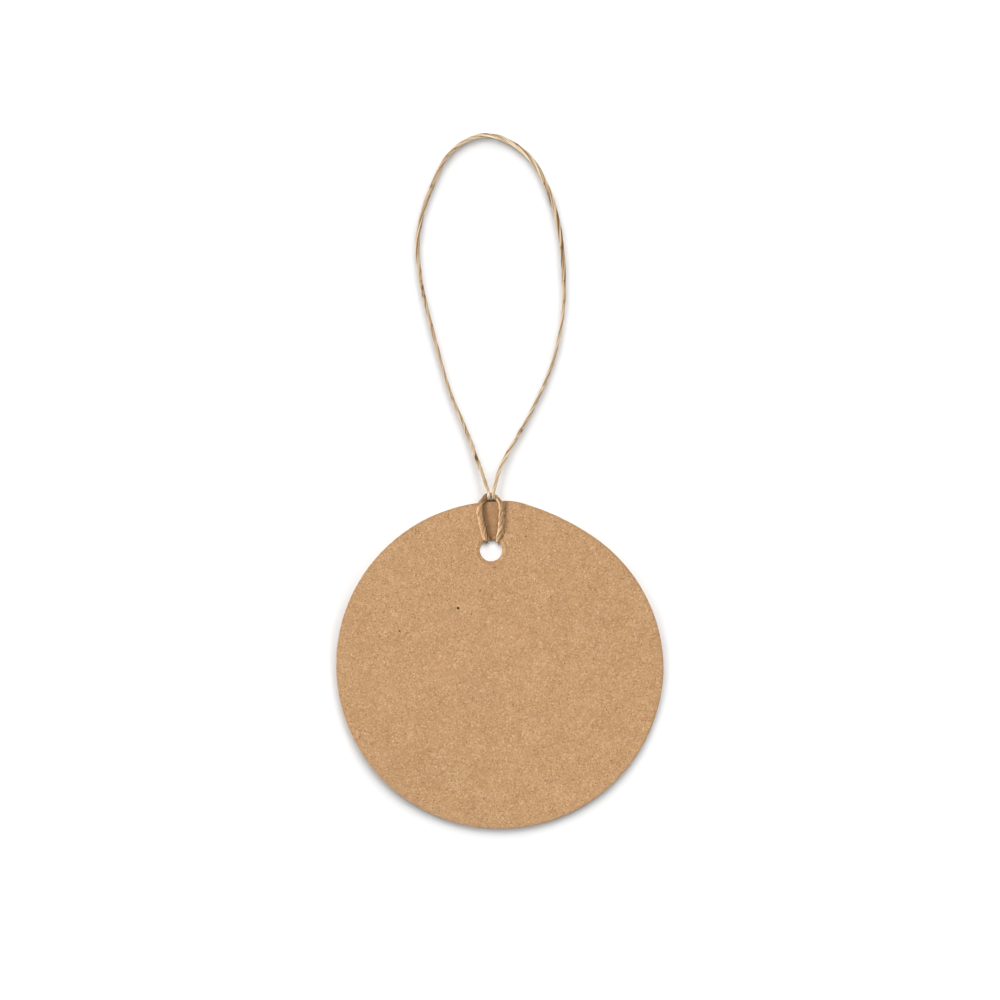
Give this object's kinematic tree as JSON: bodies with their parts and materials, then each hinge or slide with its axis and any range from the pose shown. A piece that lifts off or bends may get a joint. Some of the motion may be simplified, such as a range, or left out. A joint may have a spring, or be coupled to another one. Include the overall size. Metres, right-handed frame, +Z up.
{
  "type": "gift tag",
  "caption": "Round kraft-board tag with a punched hole near its rim and a natural twine loop cow-hitched through it, for labelling and hanging on gifts, bottles or garments.",
  "frame": {"origin": "middle of the round card, at the level of the surface that the tag lies on", "axes": "+Y from the card's middle to its punched hole, +Z up out of the writing face, +X to the right as the face is seen with the hole at the top"},
  "size_m": [0.06, 0.1272, 0.003],
  "materials": {
    "kraft_board": "matte, uncoated, speckled fibre",
    "twine": "natural two-ply bast-fibre twine, loosely twisted"
  },
  "bodies": {
    "tag": {"tag_card": "kraft_board", "twine_left_leg": "twine", "twine_right_leg": "twine", "twine_bight": "twine", "twine_left_strand": "twine", "twine_right_strand": "twine", "twine_left_tuck": "twine", "closing_knot": "twine", "twine_tails": "twine"},
    "throat": {"loop_throat": "twine"},
    "loop": {"hanging_loop": "twine"}
  },
  "joints": [
    {"name": "loop_swing", "type": "hinge", "parent": "tag", "child": "throat", "pos_m": [0.00079, 0.03228, 0.00128], "axis": [0, 0, 1], "range_deg": [-30, 30]},
    {"name": "loop_fold", "type": "hinge", "parent": "throat", "child": "loop", "pos_m": [0.00088, 0.03403, 0.00118], "axis": [0.997, -0.0771, 0], "range_deg": [-90, 120]}
  ]
}
